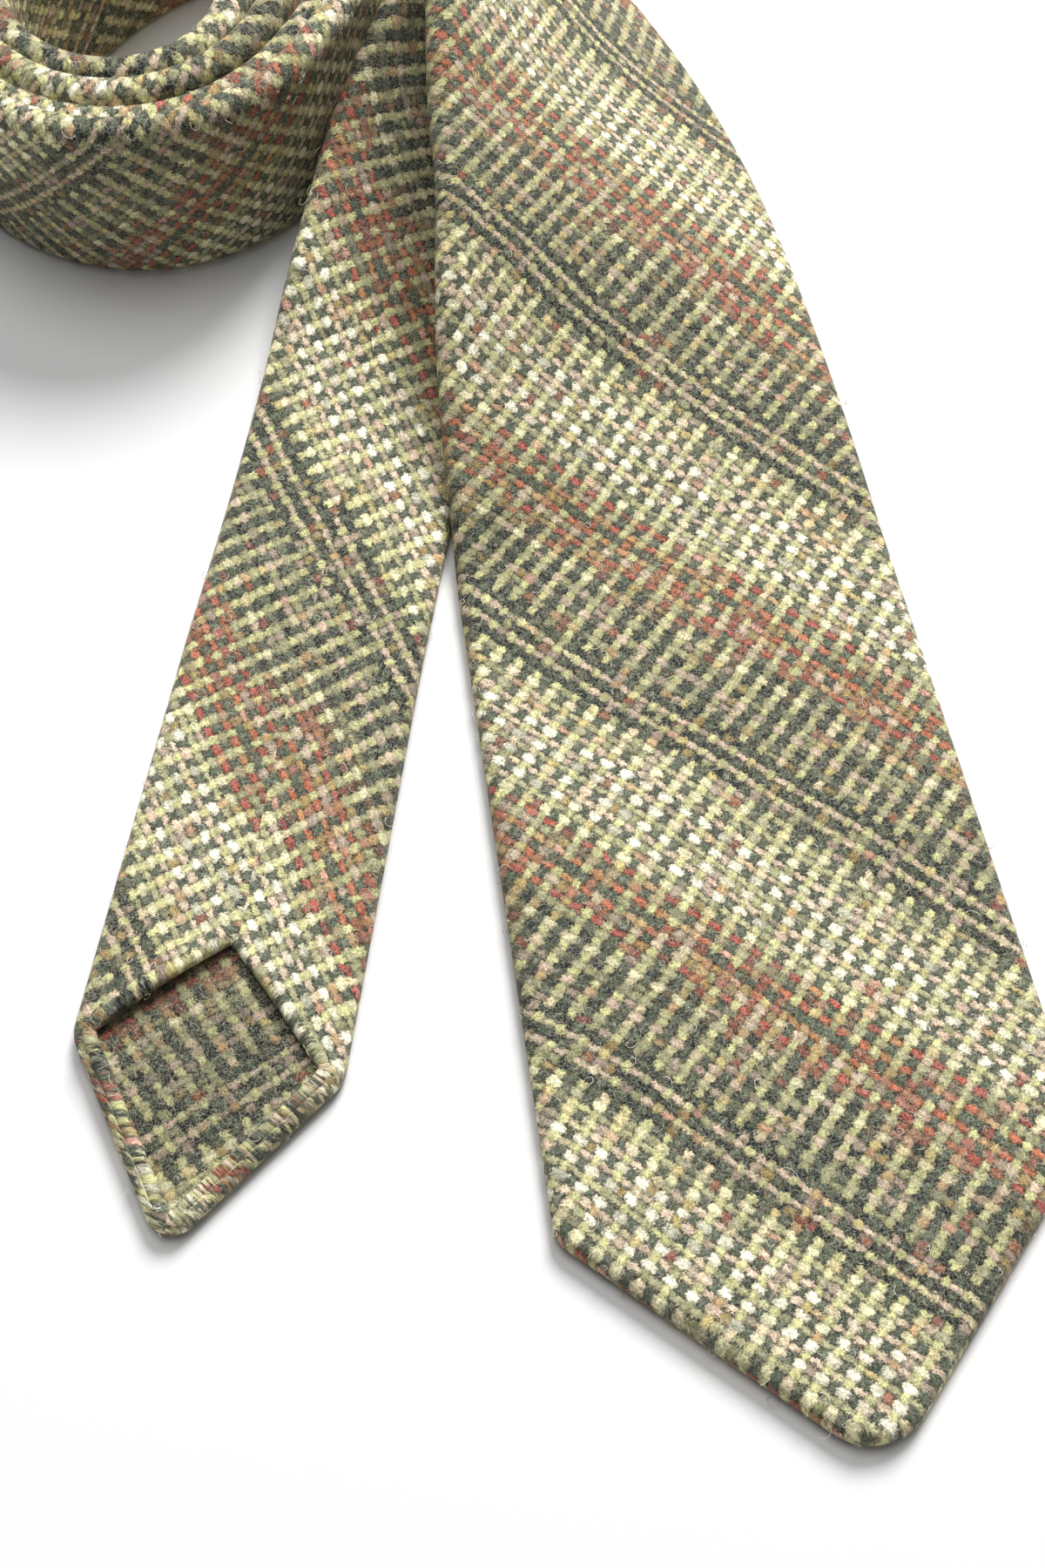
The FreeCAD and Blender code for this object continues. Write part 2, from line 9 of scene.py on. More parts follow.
import bpy
import numpy as np
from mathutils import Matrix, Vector


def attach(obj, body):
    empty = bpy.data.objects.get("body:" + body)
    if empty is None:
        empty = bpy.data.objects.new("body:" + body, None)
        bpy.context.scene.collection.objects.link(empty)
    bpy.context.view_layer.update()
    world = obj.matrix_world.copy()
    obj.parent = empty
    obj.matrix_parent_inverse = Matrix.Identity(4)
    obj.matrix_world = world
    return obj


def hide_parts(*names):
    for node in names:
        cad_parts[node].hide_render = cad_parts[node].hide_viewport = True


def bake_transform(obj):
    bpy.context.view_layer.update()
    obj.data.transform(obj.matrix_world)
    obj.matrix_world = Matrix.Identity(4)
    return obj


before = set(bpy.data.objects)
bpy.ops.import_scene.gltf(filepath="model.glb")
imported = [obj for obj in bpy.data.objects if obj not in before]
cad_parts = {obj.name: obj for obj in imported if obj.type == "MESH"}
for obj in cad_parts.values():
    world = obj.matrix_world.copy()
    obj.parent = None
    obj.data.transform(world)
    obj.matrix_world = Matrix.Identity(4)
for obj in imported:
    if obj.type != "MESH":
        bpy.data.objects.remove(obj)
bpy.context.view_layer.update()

MM = 0.001
TABLE_CENTRE = np.array([12.86, -45.45, 0.02])  # the layout's origin in the row frame

# ---------------------------------------------------------------- sizes of the tie
PLY = 3.8  # thickness of the finished tie
CLOTH = 0.9
PLY_GAP = 0.4
TIPPING = 0.8
EDGE_FOLD = 1.9  # how much of the folded edge shows round the tipping
POINT_BLEND = 8.0  # past the corners, where the pointed end's outline becomes the band's
SEAM_GAP = 0.7
FOLD_RADIUS = 4.0
PANEL_SEAM = 0.3
WAIST = 126.4
NECK_WIDTH = 36.0
ROW_STEP = 1.6  # along the tie between rows of the mesh

BLADE = {
    "point": (52.2, -106.1),
    "heading": 10.5,
    "width": 80.0,
    "tip": 40.0,
    "taper": 0.08,
    "notch": 80.0,
    "free": 150.0,
    "tipping": 92.0,
    "rounding": 9.0,
    "neck_width": 36.0,
    "bias": 45.0,
    "bias_sign": 1.0,
}
TAIL = {
    "point": (-53.2, -75.1),
    "heading": -9.8,
    "width": 41.0,
    "tip": 29.0,
    "taper": 0.045,
    "notch": 48.0,
    "free": 100.0,
    "tipping": 58.0,
    "rounding": 3.5,
    "neck_width": 34.0,
    "bias": 37.0,
    "bias_sign": -1.0,
}

TO_BLADE_SIDE = [(653.0, 15.5), (210.0, 34.0), (70.0, 90.0), (None, 16.9), (53.6, 180.0)]
OUTER_TURN = [(40.2, 326.0), (91.0, 357.0), (15.0, 450.0)]
INNER_TURN = [(62.0, 502.0), (None, 14.0), (20.0, 576.0), (29.8, 720.0)]
TAIL_LEAN = (2370.0, -6.8)

# (length from the lifting line, degrees that the ply is turned up on its edge)
BLADE_TWIST = [
    (0, 0), (18, 4), (37, 10), (56, 20), (73, 26), (90, 31), (108, 40), (126.4, 50),
    (146, 67), (163, 80), (180, 87), (195, 89.5), (213, 90), (294.4, 90),
]
TAIL_TWIST = [
    (0, 0), (30, 0.5), (55, 4), (70, 13), (86, 24), (105, 38), (124.1, 56),
    (142, 68), (160, 78), (178, 84), (196, 88), (214, 90), (287.7, 90),
]


# ---------------------------------------------------------------- routes
def right_of(heading):
    return np.array([math.cos(math.radians(heading)), math.sin(math.radians(heading)), 0.0])


def along(heading):
    return np.array([-math.sin(math.radians(heading)), math.cos(math.radians(heading)), 0.0])


class Route:
    """Straight runs and tangent arcs on the table; a turn's centre is on the left."""

    def __init__(self, start, heading):
        self.here = np.array([start[0], start[1], 0.0])
        self.heading = heading
        self.pieces = []
        self.length = 0.0

    def line(self, length):
        self.pieces.append((self.here, self.heading, 0.0, length))
        self.length += length
        self.here = self.here + along(self.heading) * length

    def turn(self, radius, new_heading):
        centre = self.here - right_of(self.heading) * radius
        length = abs(math.radians(new_heading - self.heading) * radius)
        self.pieces.append((self.here, self.heading, radius, length))
        self.length += length
        self.heading = new_heading
        self.here = centre + right_of(new_heading) * radius

    def follow(self, moves, inset=0.0):
        for radius, value in moves:
            if radius is None:
                self.line(value)
            else:
                self.turn(radius - inset, value)

    def at(self, distance):
        for start, heading, radius, length in self.pieces:
            if distance <= length + 1e-6:
                break
            distance -= length
        if radius == 0.0:
            return start + along(heading) * distance, heading
        new_heading = heading + math.degrees(distance / radius)
        return start - right_of(heading) * radius + right_of(new_heading) * radius, new_heading


def between(table, value):
    """Smooth reading of a table of pairs, as the CAD model reads it."""
    xs = [pair[0] for pair in table]
    ys = [pair[1] for pair in table]
    last = len(table) - 1
    slopes = [0.0] + [(ys[i + 1] - ys[i - 1]) / (xs[i + 1] - xs[i - 1]) for i in range(1, last)] + [0.0]
    place = min(max(int(np.searchsorted(xs, value)) - 1, 0), last - 1)
    span = xs[place + 1] - xs[place]
    share = (value - xs[place]) / span
    rise = ys[place + 1] - ys[place]
    low, high = slopes[place] * span, slopes[place + 1] * span
    cubic = low + share * (3 * rise - 2 * low - high + share * (low + high - 2 * rise))
    return max(0.0, ys[place] + share * cubic)


def ply_width(side, distance):
    """Width of a side at a distance past its lifting line."""
    tapered = side["width"] - side["taper"] * (side["free"] + distance - side["tip"])
    if side is TAIL:
        return max(tapered, side["neck_width"])
    if distance <= WAIST:
        return tapered
    at_waist = ply_width(side, WAIST)
    share = min(1.0, (distance - WAIST) / (BLADE_TWIST[-1][0] - WAIST))
    return at_waist + share * (side["neck_width"] - at_waist)


def start_route(side):
    edge = along(side["heading"]) * side["free"] + right_of(side["heading"]) * (ply_width(side, 0.0) / 2)
    return Route((side["point"][0] + edge[0], side["point"][1] + edge[1]), side["heading"])


def blade_route():
    route = start_route(BLADE)
    route.follow(TO_BLADE_SIDE)
    upright = route.length
    route.follow(OUTER_TURN)
    return route, upright


def tail_route(west_turn):
    inset = PLY + PLY_GAP
    route = start_route(TAIL)
    route.turn(*TAIL_LEAN)
    rise = west_turn[1] - inset - route.here[1]
    route.turn(rise / (1 - math.sin(math.radians(route.heading))), 90.0)
    route.line(route.here[0] - west_turn[0])
    route.follow(TO_BLADE_SIDE[-1:], inset)
    upright = route.length
    route.follow(OUTER_TURN, inset)
    return route, upright


def neck_route(blade):
    """Front face of the neck: round the inner turn, back at the fold, and home again."""
    inset = 2 * PLY + PLY_GAP
    start = blade.here + along(blade.heading) * PANEL_SEAM
    route = Route(start, blade.heading)
    route.follow(INNER_TURN)
    fold = FOLD_RADIUS + PLY / 2
    last_radius = INNER_TURN[-1][0]
    route.turn(fold, route.heading + 180.0)
    opened = last_radius - 2 * fold
    route.line(last_radius - inset - opened)
    route.turn(-opened, route.heading - 90.0)
    (r1, h1), (_, run), (r2, h2), (r3, _) = INNER_TURN
    route.turn(inset - r3, 180.0 + h2)
    route.turn(inset - r2, 180.0 + h1)
    route.line(run)
    route.turn(inset - r1, 180.0 + blade.heading)
    return route


def prepare():
    """Adds to each side its route and its twist."""
    BLADE["route"], BLADE["upright"] = blade_route()
    west_turn = BLADE["route"].pieces[len(TO_BLADE_SIDE) - 1][0]
    TAIL["route"], TAIL["upright"] = tail_route(west_turn)
    for side, table in ((BLADE, BLADE_TWIST), (TAIL, TAIL_TWIST)):
        scale = side["upright"] / table[-1][0]
        side["twist"] = [(distance * scale, lean) for distance, lean in table]
        side["length"] = side["free"] + side["route"].length


# ---------------------------------------------------------------- a station of a side
class Section:
    """Where one cross-section of a ply stands: places across and through it become points."""

    def __init__(self, foot, heading, lean, width):
        left = -right_of(heading)
        up = np.array([0.0, 0.0, 1.0])
        cos, sin = math.cos(math.radians(lean)), math.sin(math.radians(lean))
        self.across = left * cos + up * sin
        self.through = -left * sin + up * cos
        self.start = foot + left * (PLY * sin)
        self.width = width

    def points(self, across, through):
        """Across runs from the right or lower edge; through runs towards the front or outside."""
        return self.start + np.outer(across, self.across) + np.outer(through, self.through)


def side_section(side, station):
    """The cross-section of a side at a length from its point."""
    distance = station - side["free"]
    if distance <= 0.0:
        heading = side["heading"]
        width = side["width"] - side["taper"] * max(0.0, station - side["tip"])
        middle = np.array([*side["point"], 0.0]) + along(heading) * station
        return Section(middle + right_of(heading) * (width / 2), heading, 0.0, width)
    foot, heading = side["route"].at(min(distance, side["route"].length - 1e-6))
    lean = between(side["twist"], distance) if distance < side["upright"] else 90.0
    return Section(foot, heading, lean, ply_width(side, distance))


def end_half_width(side, station):
    """Half the width of a side, with its point and its corners rounded."""
    half, tip = side["width"] / 2, side["tip"]
    slope = math.atan2(half, tip)
    radius = side["rounding"]
    centre = radius / math.sin(slope)
    first = centre - radius
    touch = centre - radius * math.sin(slope)
    if station <= first:
        return 0.0
    if station < touch:
        return math.sqrt(max(0.0, radius**2 - (centre - station) ** 2))
    straight = half * station / tip
    tapered = half - side["taper"] / 2 * (station - tip)
    softness = 2.0
    blend = 0.5 + 0.5 * (tapered - straight) / softness
    blend = min(max(blend, 0.0), 1.0)
    return blend * straight + (1 - blend) * tapered - softness * blend * (1 - blend) / 2


def half_width(side, station):
    """Half the width at a station, of the pointed end or of the band past it."""
    if station < side["tip"] + POINT_BLEND:
        return end_half_width(side, station)
    return side_section(side, station).width / 2


def flap_edge(side, station):
    """How far from the middle the back flaps reach: folded edge, slanting edge, then seam."""
    half = end_half_width(side, station)
    corner, notch = side["tip"] + 1.0, side["notch"]
    at_corner = side["width"] / 2 - EDGE_FOLD
    if station < corner:
        return max(0.0, min(half - EDGE_FOLD, half * 0.93))
    if station < notch:
        share = (notch - station) / (notch - corner)
        return max(SEAM_GAP / 2, min(at_corner * share ** 0.92, half - EDGE_FOLD))
    return SEAM_GAP / 2


# ---------------------------------------------------------------- mesh helpers
def mesh_object(name, points, faces, material, uvs=None):
    """Mesh from points in layout millimetres; uvs are cloth places in millimetres, one per point."""
    mesh = bpy.data.meshes.new(name)
    places = (np.asarray(points) + TABLE_CENTRE) * MM
    places[:, 2] = np.maximum(places[:, 2], 0.0)  # nothing sinks into the table
    mesh.from_pydata(places.tolist(), [], [tuple(face) for face in faces])
    mesh.update()
    mesh.validate()
    if uvs is not None:
        layer = mesh.uv_layers.new(name="cloth")
        index = np.zeros(len(mesh.loops), np.int32)
        mesh.loops.foreach_get("vertex_index", index)
        layer.data.foreach_set("uv", (np.asarray(uvs)[index] * 0.01).astype(np.float32).ravel())
    for polygon in mesh.polygons:
        polygon.use_smooth = True
    mesh.materials.append(material)
    obj = bpy.data.objects.new(name, mesh)
    bpy.context.scene.collection.objects.link(obj)
    return obj


def grid_faces(rows, columns, first=0):
    """Quads of a grid of points stored row by row."""
    faces = []
    for row in range(rows - 1):
        for column in range(columns - 1):
            a = first + row * columns + column
            faces.append((a, a + 1, a + columns + 1, a + columns))
    return faces


def thicken(obj, thickness, offset):
    """Gives a sheet its thickness and applies it."""
    solid = obj.modifiers.new("thickness", "SOLIDIFY")
    solid.thickness = thickness * MM
    solid.offset = offset
    solid.use_even_offset = False
    depsgraph = bpy.context.evaluated_depsgraph_get()
    made = bpy.data.meshes.new_from_object(obj.evaluated_get(depsgraph))
    obj.modifiers.clear()
    obj.data = made
    return obj


def ripple(u, station, seed):
    """Slow unevenness of soft cloth, in millimetres."""
    value = 0.0
    for index in range(4):
        angle = seed * 1.7 + index * 2.1
        length = 34.0 + 17.0 * index
        wave = math.cos(angle) * u + math.sin(angle) * station
        value = value + np.sin(2 * math.pi * wave / length + seed * 3.1 + index * 1.3) * (0.10 + 0.04 * index)
    return value


# ---------------------------------------------------------------- wrapped cloth
FRONT_STEPS, ARC_STEPS, FLAP_STEPS = 22, 7, 14


def half_profile(half, inner, thick, lift):
    """One half of the wrapped cloth, from the middle of the front, round the edge, to the flap's edge.

    Returns places from the middle, places through, and places on the unfolded cloth.
    """
    radius = min(thick / 2, half * 0.9)
    flat = half - radius
    front = np.linspace(0.0, 1.0, FRONT_STEPS) ** 0.9 * flat
    crown = 0.45 * (1 - (front / max(half, 1e-6)) ** 2)
    turn = np.linspace(0.0, math.pi, ARC_STEPS + 1)[1:]
    edge_u = flat + radius * np.sin(turn)
    edge_b = thick - radius + radius * np.cos(turn)
    edge_e = flat + radius * turn
    share = np.linspace(0.0, 1.0, FLAP_STEPS + 1)[1:]
    reach = max(flat - inner, 0.0)
    flap_u = flat - share * reach
    flap_b = (thick - 2 * radius) - lift * share**2
    flap_e = flat + math.pi * radius + share * reach
    roll = np.linspace(0.0, math.pi * 0.75, 5)[1:]
    lip_radius = min(0.55, radius * 0.5)
    lip_u = flap_u[-1] - lip_radius * np.sin(roll) * 0.8
    lip_b = flap_b[-1] + lip_radius * (1 - np.cos(roll))
    lip_e = flap_e[-1] + lip_radius * roll
    u = np.concatenate([front, edge_u, flap_u, lip_u])
    b = np.concatenate([thick + crown, edge_b, flap_b, lip_b])
    e = np.concatenate([front, edge_e, flap_e, lip_e])
    return u, b, e


def full_profile(half, inner, thick, lift_left, lift_right):
    """The whole wrapped section, from the left flap's edge over the front to the right flap's edge."""
    u, b, e = half_profile(half, inner, thick, lift_right)
    v, c, f = half_profile(half, inner, thick, lift_left)
    return (
        np.concatenate([-v[::-1], u[1:]]),
        np.concatenate([c[::-1], b[1:]]),
        np.concatenate([-f[::-1], e[1:]]),
    )


def wrapped_rows(side):
    """Stations of the rows of a side's cloth: close together round the point."""
    slope = math.atan2(side["width"] / 2, side["tip"])
    first = side["rounding"] / math.sin(slope) - side["rounding"]
    near = [first + step for step in (0.02, 0.12, 0.3, 0.55, 0.9, 1.3, 1.8, 2.4, 3.1, 3.9, 4.8)]
    count = int((side["length"] - near[-1]) / ROW_STEP)
    return near + list(np.linspace(near[-1], side["length"], count)[1:])


def flap_lift(side, station):
    """How far the free edge of each flap stands off near the notch: (left, right)."""
    if side is BLADE:
        return 0.0, 0.0
    near = math.exp(-(((station - side["notch"] + 9.0) / 13.0) ** 2))
    return 2.2 * near, 1.3 * near


def cloth_place(side, e, station, half):
    """Place on the flat cloth: each panel is cut at its own angle to the yarns."""
    bias, sign = math.radians(side["bias"]), side["bias_sign"]
    over = math.cos(bias) * e + sign * math.sin(bias) * station
    run = math.sin(bias) * e - sign * math.cos(bias) * station
    if side is TAIL:
        # its two flaps are matched, so that the check's bands cross the back seam unbroken
        over = over - np.where(e > half, (4 * half * math.cos(bias)) % (WEFT_PITCH * REPEAT_ROWS), 0.0)
    return np.stack([over + run, over - run], axis=1) * math.sqrt(0.5)


def make_wrapped_cloth(name, side, material):
    """Cloth of a whole side: pointed end, hem, slanting flaps, back seam, up to the panel seam."""
    points, uvs = [], []
    stations = wrapped_rows(side)
    seed = 1.0 if side is BLADE else 2.0
    for station in stations:
        section = side_section(side, station)
        half = half_width(side, station)
        first = stations[0] - 0.02
        rounding = min(1.0, (station - first) / (PLY / 2))
        thick = PLY * math.sqrt(max(0.02, 1 - (1 - rounding) ** 2))
        half = max(half, 0.05)
        inner = flap_edge(side, station) if station < side["notch"] + 1 else SEAM_GAP / 2
        inner = min(inner, half * 0.97)
        left, right = flap_lift(side, station)
        u, b, e = full_profile(half, inner, thick, left, right)
        b = b + (PLY - thick) / 2
        free = side is BLADE and station < side["free"]
        wave = ripple(e, station, seed)
        edge = np.clip((half - np.abs(u)) / 6.0, 0.0, 1.0)
        lying = b < PLY / 2 if side is BLADE else b > PLY / 2
        b = b + np.where(lying & free, 0.0, wave * edge * 0.8)
        through = b if side is BLADE else PLY - b
        # the tail lies back up, so its front's left is on the table's right
        place = section.width / 2 - u
        points.append(section.points(place, through))
        uvs.append(cloth_place(side, e, station, half))
    columns = len(points[0])
    faces = grid_faces(len(points), columns)
    if side is BLADE:
        faces = [face[::-1] for face in faces]
    obj = mesh_object(name, np.concatenate(points), faces, material, np.concatenate(uvs))
    return thicken(obj, CLOTH, -1.0)



def neck_section(route, distance):
    foot, heading = route.at(min(distance, route.length - 1e-6))
    return Section(foot, heading, 90.0, NECK_WIDTH)


def make_neck_cloth(name, route, material):
    """Cloth of the neck panel, from one panel seam round the fold to the other."""
    points, uvs = [], []
    for distance in np.linspace(0.0, route.length, int(route.length / ROW_STEP)):
        section = neck_section(route, distance)
        half = NECK_WIDTH / 2
        tuck = 0.5 * math.exp(-min(distance, route.length - distance) / 1.2)
        u, b, e = full_profile(half - tuck, SEAM_GAP / 2, PLY - 2 * tuck, 0.0, 0.0)
        rim = 0.35 * np.sin(distance / 11.0) * np.clip(np.abs(u) / half, 0, 1) ** 4
        place = NECK_WIDTH / 2 - u - rim * np.sign(u) * 0.5
        points.append(section.points(place, b + tuck))
        uvs.append(np.stack([e + 17.0, np.full(len(e), distance + 31.0)], axis=1))
    faces = [face[::-1] for face in grid_faces(len(points), len(points[0]))]
    obj = mesh_object(name, np.concatenate(points), faces, material, np.concatenate(uvs))
    return thicken(obj, CLOTH, -1.0)


# ---------------------------------------------------------------- inside and small pieces
def slab_rows(sections, inset, low, high, material, name, uv_offset=(0.0, 0.0)):
    """A flat closed layer inside the ply, through sections given as (section, half, station)."""
    around = [(-1.0, 0.5), (-0.985, 0.0), (-0.4, 0.0), (0.4, 0.0), (0.985, 0.0)]
    around += [(1.0, 0.5), (0.985, 1.0), (0.4, 1.0), (-0.4, 1.0), (-0.985, 1.0)]
    points, uvs = [], []
    for section, half, station in sections:
        reach = max(half - inset, 0.05)
        u = np.array([pair[0] * reach for pair in around])
        b = np.array([low + pair[1] * (high - low) for pair in around])
        points.append(section.points(section.width / 2 - u, b))
        uvs.append(np.stack([u + uv_offset[0], np.full(len(u), station + uv_offset[1])], axis=1))
    count = len(around)
    faces = []
    for row in range(len(points) - 1):
        for column in range(count):
            a = row * count + column
            b = row * count + (column + 1) % count
            faces.append((a, b, b + count, a + count))
    faces.append(tuple(range(count))[::-1])
    faces.append(tuple(range((len(points) - 1) * count, len(points) * count)))
    return mesh_object(name, np.concatenate(points), faces, material, np.concatenate(uvs))


def make_wool(name, side, material):
    """Interlining of a side, from its point up to the panel seam."""
    rows = []
    first = side["tip"] * 0.2
    for station in np.linspace(first, side["length"] - 0.2, 180):
        half = half_width(side, station)
        rows.append((side_section(side, station), half, station))
    return slab_rows(rows, CLOTH + 0.4, CLOTH + 0.15, PLY - CLOTH - 0.15, material, name)


def make_neck_wool(name, route, material):
    rows = [
        (neck_section(route, distance), NECK_WIDTH / 2, distance)
        for distance in np.linspace(0.4, route.length - 0.4, 200)
    ]
    return slab_rows(rows, CLOTH + 0.4, CLOTH + 0.15, PLY - CLOTH - 0.15, material, name)


def make_tipping(name, side, material):
    """Self-cloth lining behind the point, set back under the hem and the flaps."""
    points, uvs = [], []
    columns = 31
    first = side["tip"] * 0.09
    stations = np.linspace(first, side["tipping"], 60)
    for station in stations:
        section = side_section(side, station)
        half = max(end_half_width(side, station) - CLOTH - 0.3, 0.1)
        u = np.linspace(-half, half, columns)
        sag = 0.10 * np.sin(u / 6.0) * np.sin(station / 9.0)
        depth = np.full(columns, CLOTH + 0.12) + sag * 0.5
        through = depth if side is BLADE else PLY - depth
        points.append(section.points(section.width / 2 - u, through))
        # this piece is cut the other way of the cloth from the panel behind it
        uvs.append(np.stack([np.full(columns, station), -u], axis=1))
    faces = grid_faces(len(stations), columns)
    if side is TAIL:
        faces = [face[::-1] for face in faces]
    obj = mesh_object(name, np.concatenate(points), faces, material, np.concatenate(uvs))
    return thicken(obj, TIPPING * 0.7, -1.0)


def tube(path, radius, sides=6):
    """Points and faces of a thread along a path."""
    path = np.asarray(path)
    points, faces = [], []
    for index in range(len(path)):
        before, after = path[max(index - 1, 0)], path[min(index + 1, len(path) - 1)]
        direction = after - before
        direction = direction / (np.linalg.norm(direction) + 1e-9)
        helper = np.array([0.0, 0.0, 1.0]) if abs(direction[2]) < 0.8 else np.array([1.0, 0.0, 0.0])
        one = np.cross(direction, helper)
        one = one / np.linalg.norm(one)
        two = np.cross(direction, one)
        for side in range(sides):
            angle = 2 * math.pi * side / sides
            points.append(path[index] + radius * (math.cos(angle) * one + math.sin(angle) * two))
    for index in range(len(path) - 1):
        for side in range(sides):
            a, b = index * sides + side, index * sides + (side + 1) % sides
            faces.append((a, b, b + sides, a + sides))
    faces.append(tuple(range(sides))[::-1])
    faces.append(tuple(range((len(path) - 1) * sides, len(path) * sides)))
    return points, faces


def join_tubes(name, paths, radius, material, sides=6):
    points, faces = [], []
    for path in paths:
        more, polygons = tube(path, radius, sides)
        faces += [tuple(index + len(points) for index in polygon) for polygon in polygons]
        points += more
    return mesh_object(name, points, faces, material)


def flap_depth(side, depth):
    """Place through the ply of something at a depth below the back flaps' outside."""
    return depth if side is BLADE or side is None else PLY - depth


def seam_path(section_at, side, first, last, wander):
    """A hand's running stitch down a back seam: it dips under one flap, then the other."""
    path = []
    for distance in np.arange(first, last, 1.0):
        section = section_at(distance)
        sway = wander * math.sin(distance * 2 * math.pi / 7.0)
        depth = 0.42 + 0.2 * math.cos(distance * 2 * math.pi / 3.5)
        across = np.array([section.width / 2 - sway])
        path.append(section.points(across, np.array([flap_depth(side, depth)]))[0])
    return path


def make_side_stitch(name, side, material):
    path = seam_path(lambda s: side_section(side, s), side, side["notch"] + 3, side["length"] - 1, 0.2)
    return join_tubes(name, [path], 0.18, material)


def make_bar_tack(name, side, material):
    """Six short thread wraps across the seam, side by side, just above the notch."""
    paths = []
    for index in range(6):
        station = side["notch"] + 1.0 + index * 0.42
        section = side_section(side, station)
        u = np.linspace(-1.6, 1.6, 7)
        depth = 0.35 - 0.45 * (1 - (u / 1.6) ** 2)
        if side is BLADE:
            depth = np.maximum(depth, 0.2)
        slant = 0.12 * u
        place = section.points(section.width / 2 - u, flap_depth(side, depth))
        place = place + np.outer(slant, along(side["heading"]))
        paths.append(place)
    return join_tubes(name, paths, 0.17, material)


def make_panel_seam(name, side, material):
    """The sewn joint between two panels, sunk between the two cloths."""
    points, uvs = [], []
    for step, shrink in ((-0.6, 0.55), (-0.2, 0.35), (0.2, 0.35), (0.6, 0.55)):
        foot, heading = side["route"].at(side["route"].length - 1e-6)
        foot = foot + along(heading) * (PANEL_SEAM / 2 + step)
        section = Section(foot, heading, 90.0, side["neck_width"])
        u, b, e = full_profile(side["neck_width"] / 2 - shrink, SEAM_GAP / 2, PLY - 2 * shrink, 0.0, 0.0)
        b = b + shrink
        through = b if side is BLADE else PLY - b
        points.append(section.points(side["neck_width"] / 2 - u, through))
        uvs.append(np.stack([e, np.full(len(e), step * 2)], axis=1))
    faces = grid_faces(len(points), len(points[0]))
    if side is BLADE:
        faces = [face[::-1] for face in faces]
    obj = mesh_object(name, np.concatenate(points), faces, material, np.concatenate(uvs))
    return thicken(obj, CLOTH * 0.5, -1.0)


# ---------------------------------------------------------------- keeper loop
LOOP_STATION, LOOP_WIDTH, LOOP_LENGTH, LOOP_OFFSET = 190.0, 10.0, 44.0, 12.0


def make_keeper(name, material):
    """A band of self cloth across the blade's back, its long edges folded under."""
    points, uvs = [], []
    columns = 13
    for station in np.linspace(-LOOP_WIDTH / 2, LOOP_WIDTH / 2, columns):
        section = side_section(BLADE, LOOP_STATION + station)
        across = np.linspace(LOOP_OFFSET, LOOP_OFFSET + LOOP_LENGTH, 45)
        share = (across - LOOP_OFFSET) / LOOP_LENGTH
        bow = 0.5 * np.sin(math.pi * share) + 0.1
        edge = 0.25 * (abs(station) / (LOOP_WIDTH / 2)) ** 6
        points.append(section.points(across, -0.45 - bow + edge))
        uvs.append(np.stack([across, np.full(45, station + 40.0)], axis=1))
    faces = [face[::-1] for face in grid_faces(columns, 45)]
    obj = mesh_object(name, np.concatenate(points), faces, material, np.concatenate(uvs))
    return thicken(obj, CLOTH * 0.9, 0.0)


def make_keeper_tacks(name, material):
    """Two rows of small stitches through the ends of the loop."""
    paths = []
    for edge in (LOOP_OFFSET + 1.2, LOOP_OFFSET + LOOP_LENGTH - 1.2):
        for index in range(7):
            station = LOOP_STATION - 3.6 + index * 1.2
            section = side_section(BLADE, station)
            across = np.linspace(edge - 0.9, edge + 0.9, 5)
            paths.append(section.points(across, np.array([-0.5, -1.0, -1.12, -1.0, -0.5]) - 0.15))
    return join_tubes(name, paths, 0.17, material)


# ---------------------------------------------------------------- materials
def srgb(red, green, blue):
    """A colour given as it is seen, 0 to 255, as the shader's own linear values."""
    def linear(value):
        value = value / 255
        return value / 12.92 if value <= 0.04045 else ((value + 0.055) / 1.055) ** 2.4
    return (linear(red), linear(green), linear(blue), 1.0)


CREAM = srgb(255, 250, 222)
PALE = srgb(238, 230, 184)
LIME = srgb(206, 202, 144)
SAGE = srgb(176, 172, 132)
BEIGE = srgb(214, 190, 164)
PINK = srgb(232, 200, 178)
MOSS = srgb(80, 88, 73)
CHARCOAL = srgb(50, 56, 55)
INK = srgb(32, 38, 42)
RUST = srgb(194, 108, 78)
BRICK = srgb(176, 84, 74)
OCHRE = srgb(204, 168, 100)


